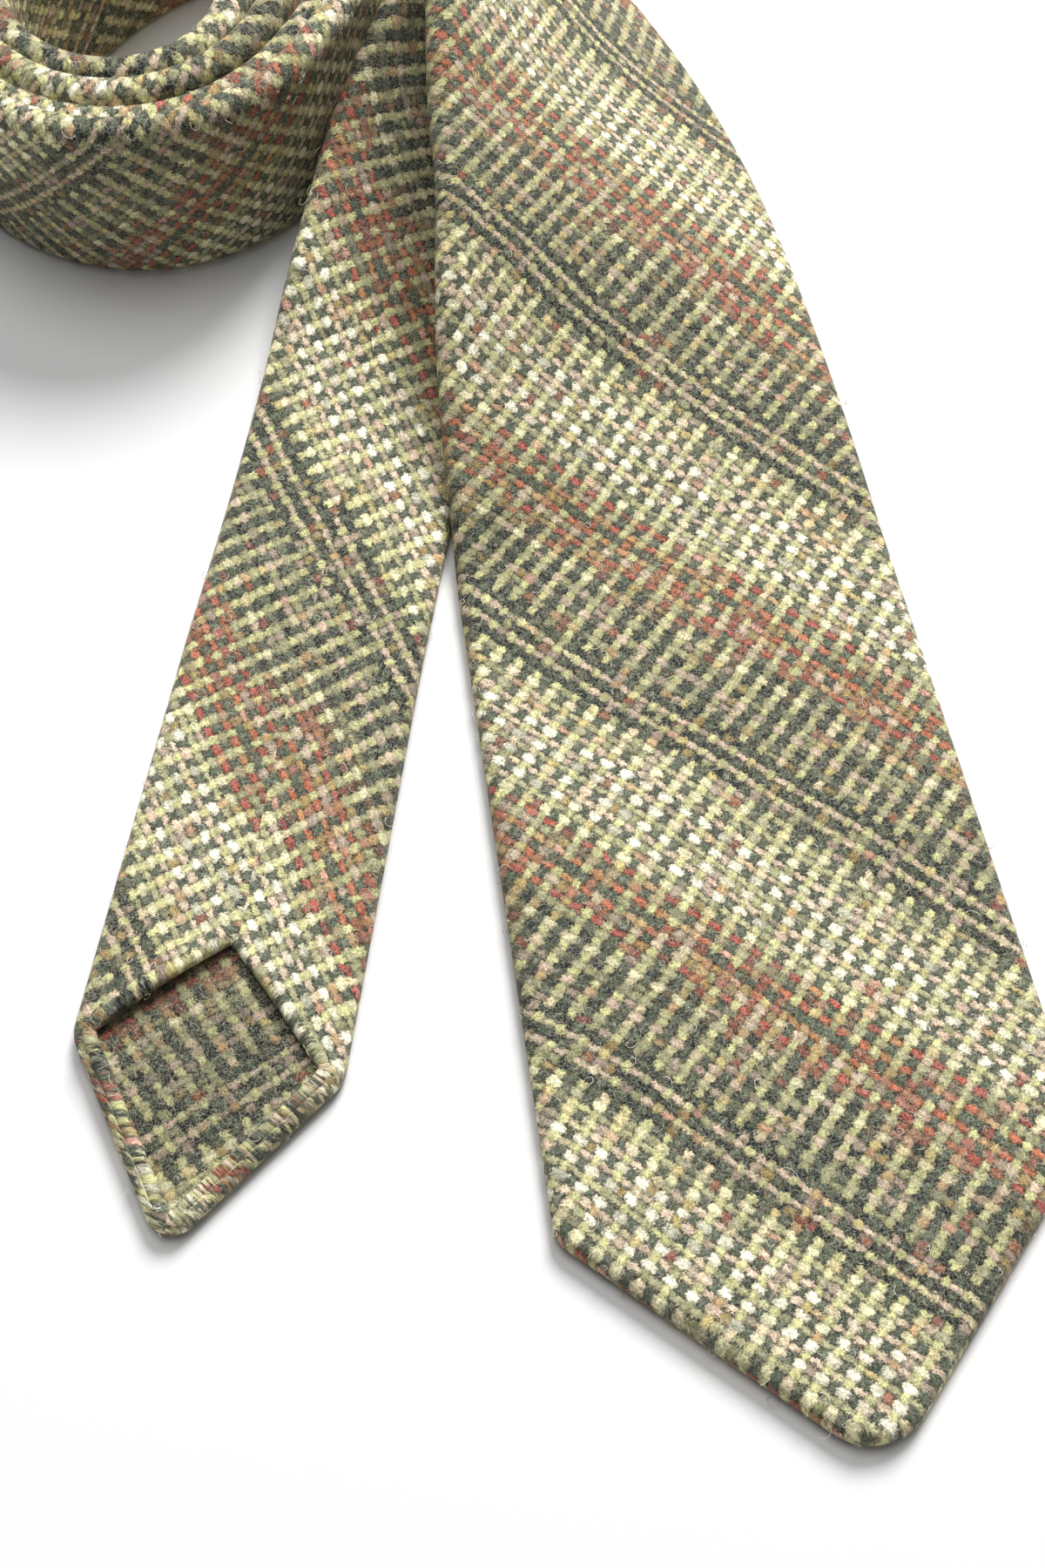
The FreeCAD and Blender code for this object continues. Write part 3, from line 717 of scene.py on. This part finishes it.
class Nodes:
    """Small helper that adds shader nodes and joins them."""

    def __init__(self, name):
        self.material = bpy.data.materials.new(name)
        self.material.use_nodes = True
        self.tree = self.material.node_tree
        self.tree.nodes.clear()

    def add(self, kind, **settings):
        node = self.tree.nodes.new(kind)
        for key, value in settings.items():
            setattr(node, key, value)
        return node

    def put(self, source, socket):
        if isinstance(source, (int, float)):
            socket.default_value = source
        elif isinstance(source, tuple):
            socket.default_value = source[: len(socket.default_value)]
        else:
            self.tree.links.new(source, socket)

    def math(self, operation, one, two=0.0, three=0.0):
        node = self.add("ShaderNodeMath", operation=operation)
        for value, socket in zip((one, two, three), node.inputs):
            self.put(value, socket)
        return node.outputs[0]

    def mix(self, share, one, two, blend="MIX"):
        node = self.add("ShaderNodeMix", data_type="RGBA", blend_type=blend)
        self.put(share, node.inputs[0])
        self.put(one, node.inputs[6])
        self.put(two, node.inputs[7])
        return node.outputs[2]

    def combine(self, x, y, z=0.0):
        node = self.add("ShaderNodeCombineXYZ")
        for value, socket in zip((x, y, z), node.inputs):
            self.put(value, socket)
        return node.outputs[0]

    def noise(self, vector, scale, detail=2.0, roughness=0.5, dimensions="3D"):
        node = self.add("ShaderNodeTexNoise", noise_dimensions=dimensions)
        self.put(vector, node.inputs["Vector"])
        node.inputs["Scale"].default_value = scale
        node.inputs["Detail"].default_value = detail
        node.inputs["Roughness"].default_value = roughness
        return node

    def white(self, vector):
        node = self.add("ShaderNodeTexWhiteNoise", noise_dimensions="3D")
        self.put(vector, node.inputs["Vector"])
        return node

    def ramp(self, share, stops, interpolation="CONSTANT"):
        """Stops are (place, colour) pairs."""
        node = self.add("ShaderNodeValToRGB")
        node.color_ramp.interpolation = interpolation
        elements = node.color_ramp.elements
        while len(elements) < len(stops):
            elements.new(1.0)
        for element, (place, colour) in zip(elements, stops):
            element.position = place
            element.color = colour
        self.put(share, node.inputs[0])
        return node.outputs[0]

    def smooth(self, value, low, high, first=0.0, last=1.0):
        node = self.add("ShaderNodeMapRange", interpolation_type="SMOOTHSTEP")
        for number, socket in zip((value, low, high, first, last), node.inputs):
            self.put(number, socket)
        return node.outputs[0]


WARP_PITCH = 1.86  # millimetres from one lengthwise yarn of the cloth to the next
WEFT_PITCH = 1.49
REPEAT_ROWS = 36  # cross yarns in one repeat of the check
CHECK_START = 21.0  # where a repeat starts, measured across the bands from the blade's point

# cross yarns two by two through one repeat: the thick one, then the thin one
CHECK_PAIRS = [
    (INK, BEIGE),
    (INK, BEIGE),
    (INK, CHARCOAL),
    (SAGE, CHARCOAL),
    (BEIGE, INK),
    (SAGE, CHARCOAL),
    (PALE, CHARCOAL),
    (SAGE, BRICK),
    (BEIGE, RUST),
    (MOSS, RUST),
    (SAGE, BRICK),
    (PALE, SAGE),
    (CREAM, BEIGE),
    (CREAM, SAGE),
    (CREAM, BEIGE),
    (CREAM, BEIGE),
    (PALE, SAGE),
    (PALE, MOSS),
]


# flecks of other wools, by where a float's random number falls
FLECKS = [
    (0.0, RUST),
    (0.02, BRICK),
    (0.04, OCHRE),
    (0.09, PINK),
    (0.17, LIME),
    (0.24, MOSS),
    (0.29, CHARCOAL),
]


def fibres(n, run, over, run_scale, over_scale):
    """Streaks drawn out along the yarns of one set."""
    place = n.combine(n.math("MULTIPLY", run, run_scale), n.math("MULTIPLY", over, over_scale))
    return n.noise(place, 1.0, 3.0, 0.7)


def tweed_material(name, phase=0.0, brightness=1.0):
    """Plain-woven tweed, worked out from the place on the cloth: at each crossing the higher yarn shows."""
    n = Nodes(name)
    uv = n.add("ShaderNodeUVMap", uv_map="cloth")
    split = n.add("ShaderNodeSeparateXYZ")
    n.put(uv.outputs[0], split.inputs[0])
    across = n.math("MULTIPLY", split.outputs[0], 100.0)
    station = n.math("MULTIPLY", split.outputs[1], 100.0)
    flat = n.combine(across, station)

    # cloth drawn slightly out of true: slow drift, the waver of each yarn, and its ragged edge
    half = math.sqrt(0.5)
    over = n.math("MULTIPLY", n.math("ADD", across, station), half)
    run = n.math("MULTIPLY", n.math("SUBTRACT", across, station), half)
    over = n.math("ADD", over, phase - CHECK_START + WEFT_PITCH * REPEAT_ROWS * 20)
    run = n.math("ADD", run, WARP_PITCH * 400)
    for scale, reach, detail in ((0.03, 3.0, 0.0), (0.5, 1.1, 1.0), (2.2, 1.9, 4.0)):
        parts = n.add("ShaderNodeSeparateXYZ")
        n.put(n.noise(flat, scale, detail, 0.6).outputs["Color"], parts.inputs[0])
        over = n.math("ADD", over, n.math("MULTIPLY_ADD", parts.outputs[0], reach, -reach / 2))
        run = n.math("ADD", run, n.math("MULTIPLY_ADD", parts.outputs[1], reach, -reach / 2))
    weft, warp = n.math("DIVIDE", over, WEFT_PITCH), n.math("DIVIDE", run, WARP_PITCH)
    row, column = n.math("FLOOR", weft), n.math("FLOOR", warp)
    weft_off = n.math("SUBTRACT", n.math("FRACT", weft), 0.5)
    warp_off = n.math("SUBTRACT", n.math("FRACT", warp), 0.5)
    row_odd = n.math("FLOORED_MODULO", row, 2.0)
    column_odd = n.math("FLOORED_MODULO", column, 2.0)
    parity = n.math("FLOORED_MODULO", n.math("ADD", row, column), 2.0)
    sign = n.math("MULTIPLY_ADD", parity, -2.0, 1.0)

    # heights of the two yarns: each rises and falls along itself and is round across itself
    rise = 0.42  # of a yarn's half thickness
    weft_wave = n.math("MULTIPLY", n.math("COSINE", n.math("MULTIPLY", warp_off, math.pi)), sign)
    warp_wave = n.math("MULTIPLY", n.math("COSINE", n.math("MULTIPLY", weft_off, math.pi)), sign)
    weft_width = n.math("MULTIPLY_ADD", row_odd, -0.30, 1.12)
    weft_side = n.math("POWER", n.math("DIVIDE", n.math("MULTIPLY", weft_off, 2.0), weft_width), 2.0)
    warp_side = n.math("POWER", n.math("MULTIPLY", warp_off, 2.0 / 0.92), 2.0)
    weft_round = n.math("SQRT", n.math("MAXIMUM", n.math("SUBTRACT", 1.0, weft_side), 0.0))
    warp_round = n.math("SQRT", n.math("MAXIMUM", n.math("SUBTRACT", 1.0, warp_side), 0.0))
    weft_height = n.math("MULTIPLY_ADD", weft_wave, rise, weft_round)
    warp_height = n.math("MULTIPLY_ADD", warp_wave, -rise, warp_round)
    warp_up = n.math("GREATER_THAN", warp_height, weft_height)
    warp_shows = n.smooth(n.math("SUBTRACT", warp_height, weft_height), -0.35, 0.35, 0.0, 1.0)
    height = n.math("SMOOTH_MAX", weft_height, warp_height, 0.12)

    # colours of the two sets of yarns
    rows = float(REPEAT_ROWS)
    share = n.math("DIVIDE", n.math("FLOORED_MODULO", n.math("ADD", row, 0.5), rows), rows)
    thick = n.ramp(share, [(k / len(CHECK_PAIRS), pair[0]) for k, pair in enumerate(CHECK_PAIRS)])
    thin = n.ramp(share, [(k / len(CHECK_PAIRS), pair[1]) for k, pair in enumerate(CHECK_PAIRS)])
    weft_colour = n.mix(row_odd, thick, thin)
    warp_colour = n.mix(column_odd, LIME, MOSS)

    # each float has its own shade, and some are flecks of another wool
    cell = n.white(n.combine(row, column, n.math("MULTIPLY", warp_up, 7.0)))
    parts = n.add("ShaderNodeSeparateColor")
    n.put(cell.outputs["Color"], parts.inputs[0])
    colour = n.mix(warp_shows, weft_colour, warp_colour)
    fleck = n.ramp(parts.outputs[0], FLECKS)
    is_fleck = n.math("LESS_THAN", parts.outputs[0], 0.34)
    colour = n.mix(n.math("MULTIPLY", is_fleck, 0.5), colour, fleck)
    rusty = n.smooth(n.math("ABSOLUTE", n.math("SUBTRACT", share, 0.46)), 0.03, 0.15, 1.0, 0.0)
    rusty = n.math("MULTIPLY", rusty, n.math("LESS_THAN", parts.outputs[1], 0.30))
    rusts = n.ramp(parts.outputs[2], [(0.0, RUST), (0.4, BRICK), (0.75, OCHRE)])
    colour = n.mix(n.math("MULTIPLY", rusty, 0.75), colour, rusts)
    shade = n.math("MULTIPLY_ADD", parts.outputs[1], 0.36, 0.84)

    # wool fibres: streaks that run with the yarn that shows, and curled hairs over everything; painted shade
    # darkens the gaps between yarns
    weft_streak = fibres(n, run, over, 0.7, 5.0)
    warp_streak = fibres(n, run, over, 5.0, 0.7)
    streak = n.add("ShaderNodeMix", data_type="FLOAT")
    n.put(warp_shows, streak.inputs[0])
    n.put(weft_streak.outputs["Fac"], streak.inputs[2])
    n.put(warp_streak.outputs["Fac"], streak.inputs[3])
    blotch = n.noise(flat, 2.3, 4.0, 0.75).outputs["Fac"]
    # painted shade: the colour darkens from each yarn's crest down into the gaps between yarns, standing in
    # for the shade in the weave
    dim = n.smooth(height, 0.35, 1.4, 0.13, 1.16)
    dim = n.math("MULTIPLY", dim, shade)
    from_light = n.math("ABSOLUTE", n.math("SUBTRACT", share, 0.80))
    dim = n.math("MULTIPLY", dim, n.smooth(from_light, 0.12, 0.36, 1.06, 0.84))
    dim = n.math("MULTIPLY", dim, n.math("MULTIPLY_ADD", streak.outputs[0], 4.4, -1.2))
    dim = n.math("MULTIPLY", dim, n.math("MULTIPLY_ADD", blotch, 2.8, -0.4))
    # brightness below one makes a darker copy of the cloth: painted shade, used for the tipping
    dim = n.math("MAXIMUM", n.math("MULTIPLY", dim, brightness), 0.05)
    colour = n.mix(1.0, colour, n.combine(dim, dim, dim), "MULTIPLY")
    for scale, width, strength in ((0.7, 0.025, 0.36), (1.2, 0.035, 0.28), (1.9, 0.05, 0.20)):
        curl = n.noise(flat, scale, 1.5, 0.55).outputs["Fac"]
        line = n.smooth(n.math("ABSOLUTE", n.math("SUBTRACT", curl, 0.5)), 0.0, width, strength, 0.0)
        colour = n.mix(line, colour, srgb(206, 205, 180))

    bump = n.add("ShaderNodeBump")
    bump.inputs["Strength"].default_value = 0.6
    bump.inputs["Distance"].default_value = 0.32 * MM
    n.put(n.math("MULTIPLY_ADD", streak.outputs[0], 0.6, height), bump.inputs["Height"])
    shader = n.add("ShaderNodeBsdfPrincipled")
    n.put(colour, shader.inputs["Base Color"])
    n.put(n.math("MULTIPLY_ADD", blotch, 0.2, 0.78), shader.inputs["Roughness"])
    shader.inputs["Specular IOR Level"].default_value = 0.15
    shader.inputs["Sheen Weight"].default_value = 0.25
    shader.inputs["Sheen Roughness"].default_value = 0.5
    shader.inputs["Sheen Tint"].default_value = srgb(230, 224, 200)
    n.put(bump.outputs[0], shader.inputs["Normal"])
    output = n.add("ShaderNodeOutputMaterial")
    n.put(shader.outputs[0], output.inputs[0])
    return n.material


def fibre_material(name, colour, contrast, scale, sheen):
    """Plain wool or thread: fine streaks in one colour."""
    n = Nodes(name)
    places = n.add("ShaderNodeTexCoord").outputs["Object"]
    streaks = n.noise(places, scale, 5.0, 0.7).outputs["Fac"]
    dark = tuple(value * (1 - contrast) for value in colour[:3]) + (1.0,)
    shader = n.add("ShaderNodeBsdfPrincipled")
    n.put(n.mix(streaks, dark, colour), shader.inputs["Base Color"])
    n.put(n.math("MULTIPLY_ADD", streaks, 0.2, 0.7), shader.inputs["Roughness"])
    shader.inputs["Specular IOR Level"].default_value = 0.25
    shader.inputs["Sheen Weight"].default_value = sheen
    bump = n.add("ShaderNodeBump")
    bump.inputs["Strength"].default_value = 0.5
    bump.inputs["Distance"].default_value = 0.1 * MM
    n.put(streaks, bump.inputs["Height"])
    n.put(bump.outputs[0], shader.inputs["Normal"])
    output = n.add("ShaderNodeOutputMaterial")
    n.put(shader.outputs[0], output.inputs[0])
    return n.material


# ---------------------------------------------------------------- loose hairs
def make_hairs(name, cloth, count, seed, material):
    """Fine curled wool hairs standing off a cloth, each a thin three-sided thread."""
    random = np.random.default_rng(seed)
    mesh = cloth.data
    areas = np.array([polygon.area for polygon in mesh.polygons])
    centres = np.array([polygon.center for polygon in mesh.polygons]) / MM
    normals = np.array([polygon.normal for polygon in mesh.polygons])
    chosen = random.choice(len(areas), count, p=areas / areas.sum())
    points, faces = [], []
    steps = 7
    for index in chosen:
        normal = normals[index]
        aside = np.cross(normal, random.normal(size=3))
        aside = aside / (np.linalg.norm(aside) + 1e-9)
        other = np.cross(normal, aside)
        length = random.uniform(1.5, 5.0)
        curl = random.uniform(0.5, 2.4) * random.choice([-1.0, 1.0])
        rise = random.uniform(0.15, 0.75)
        start = centres[index] + random.normal(size=3) * 0.4
        turn, here = 0.0, start - normal * 0.15
        path = [here]
        for _ in range(steps - 1):
            turn += curl * random.uniform(0.3, 1.0)
            heading = math.cos(turn) * aside + math.sin(turn) * other
            here = here + heading * (length / steps) + normal * (rise / steps)
            path.append(here)
        path = [np.array([x, y, max(z, 0.08)]) for x, y, z in path]
        more, polygons = tube(path, random.uniform(0.035, 0.06), 3)
        faces += [tuple(number + len(points) for number in polygon) for polygon in polygons]
        points += more
    points = np.asarray(points) - TABLE_CENTRE
    return mesh_object(name, points, faces, material)


def bend(piece):
    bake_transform(piece)


def cut_area(side):
    """Flat area of a side's panel in square metres: front and flaps are each as wide as the side."""
    stations = np.linspace(0.0, side["length"], 300)
    widths = [2 * half_width(side, station) for station in stations]
    once = float(np.sum(widths)) * side["length"] / 300
    return 2.0 * once * MM * MM


def build_side(side, body, cloth, wool, thread, painted_shade_tipping):
    """Every piece of one side: the tipping and the bar tack are attached to the side's body, the panel seam
    to the neck's.
    """
    name = body
    shell = make_wrapped_cloth(f"{name}_cloth", side, cloth)
    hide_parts(f"{name}_shell_end", f"{name}_shell_upper")
    filling = make_wool(f"{name}_wool", side, wool)
    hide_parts(f"{name}_interlining_end", f"{name}_interlining_upper")
    stitch = make_side_stitch(f"{name}_stitching", side, thread)
    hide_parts(f"{name}_slip_stitch_end", f"{name}_slip_stitch_upper")
    for piece in (shell, filling, stitch):
        bend(piece)
    # the tipping takes the darkened copy of the tweed: painted shade
    tipping = make_tipping(f"{name}_tipping_cloth", side, painted_shade_tipping)
    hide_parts(f"{name}_tipping")
    tack = make_bar_tack(f"{name}_tack_thread", side, thread)
    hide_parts(f"{name}_bar_tack")
    for piece in (tipping, tack):
        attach(piece, body)
    seam = make_panel_seam(f"{name}_seam_cloth", side, cloth)
    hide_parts(f"{name}_panel_seam")
    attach(seam, "neck")
    area = cut_area(side)
    return shell, seam


def build_tie():
    cloth_blade = tweed_material("tweed_blade")
    cloth_tail = tweed_material("tweed_tail", phase=18.7)
    cloth_neck = tweed_material("tweed_neck", phase=12.0)
    # painted shade: the tipping is the same tweed darkened to 0.62, for the shade it lies in under the flaps
    painted_shade_tipping_cloth = tweed_material("tweed_tipping", phase=12.0, brightness=0.62)
    wool = fibre_material("interlining_wool", srgb(216, 208, 186), 0.3, 900.0, 0.4)
    thread = fibre_material("olive_thread", srgb(120, 112, 76), 0.4, 2500.0, 0.1)
    hair = fibre_material("loose_wool", srgb(248, 243, 222), 0.15, 400.0, 0.5)

    blade, blade_seam = build_side(BLADE, "blade", cloth_blade, wool, thread, painted_shade_tipping_cloth)
    tail, tail_seam = build_side(TAIL, "tail", cloth_tail, wool, thread, painted_shade_tipping_cloth)
    route = neck_route(BLADE["route"])
    neck = make_neck_cloth("neck_cloth", route, cloth_neck)
    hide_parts("neck_shell")
    filling = make_neck_wool("neck_wool", route, wool)
    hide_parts("neck_interlining")
    path = seam_path(lambda s: neck_section(route, s), None, 1.0, route.length - 1.0, 0.2)
    stitch = join_tubes("neck_stitching", [path], 0.18, thread)
    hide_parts("neck_slip_stitch")
    loop = make_keeper("keeper_loop_cloth", cloth_blade)
    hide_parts("keeper_loop")
    tacks = make_keeper_tacks("keeper_tack_thread", thread)
    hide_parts("keeper_loop_tacks")
    for piece in (neck, filling, stitch, loop, tacks):
        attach(piece, "neck")

    counts = (("blade", blade, BLADE, 5200), ("tail", tail, TAIL, 2800))
    for seed, (name, piece, side, count) in enumerate(counts):
        hairs = make_hairs(f"{name}_hairs", piece, count, seed + 5, hair)
        bend(hairs)
    hairs = make_hairs("neck_hairs", neck, 1400, 11, hair)
    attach(hairs, "neck")


# ---------------------------------------------------------------- floor, light, camera
def make_floor():
    bpy.ops.mesh.primitive_plane_add(size=8.0, location=(0, 0, 0))
    floor = bpy.context.object
    floor.name = "floor"
    n = Nodes("paper_white")
    shader = n.add("ShaderNodeBsdfPrincipled")
    shader.inputs["Base Color"].default_value = (0.85, 0.85, 0.85, 1.0)
    shader.inputs["Roughness"].default_value = 0.9
    output = n.add("ShaderNodeOutputMaterial")
    n.put(shader.outputs[0], output.inputs[0])
    floor.data.materials.append(n.material)


def make_light(name, place, target, size, power, colour=(1.0, 1.0, 1.0)):
    data = bpy.data.lights.new(name, "AREA")
    data.shape = "DISK"
    data.size = size
    data.energy = power
    data.color = colour
    light = bpy.data.objects.new(name, data)
    light.location = place
    light.rotation_mode = "QUATERNION"
    light.rotation_quaternion = (Vector(target) - Vector(place)).to_track_quat("-Z", "Y")
    bpy.context.scene.collection.objects.link(light)


def make_studio():
    world = bpy.data.worlds.new("studio")
    world.use_nodes = True
    background = world.node_tree.nodes["Background"]
    background.inputs[0].default_value = (1.0, 1.0, 1.0, 1.0)
    background.inputs[1].default_value = 0.13
    bpy.context.scene.world = world
    make_light("key", (0.60, 1.70, 1.75), (0.0, 0.0, 0.0), 1.0, 74.0)
    make_light("overhead", (-0.1, 0.35, 1.3), (0.0, 0.0, 0.0), 0.8, 7.5)
    bpy.context.scene.view_settings.view_transform = "Standard"


CAMERA_HEIGHT, CAMERA_BACK = 313.6, 133.1  # from the layout's origin, looking at it
CAMERA_LENS = 48.0


def make_camera():
    data = bpy.data.cameras.new("camera")
    data.sensor_width = 36.0
    data.sensor_fit = "AUTO"
    data.lens = CAMERA_LENS
    data.clip_start = 0.01
    camera = bpy.data.objects.new("camera", data)
    place = (np.array([0.0, -CAMERA_BACK, CAMERA_HEIGHT]) + TABLE_CENTRE) * MM
    target = TABLE_CENTRE * MM
    camera.location = place.tolist()
    camera.rotation_mode = "QUATERNION"
    camera.rotation_quaternion = (Vector(target) - Vector(place)).to_track_quat("-Z", "Y")
    bpy.context.scene.collection.objects.link(camera)
    bpy.context.scene.camera = camera


prepare()
build_tie()
make_floor()
make_studio()
make_camera()
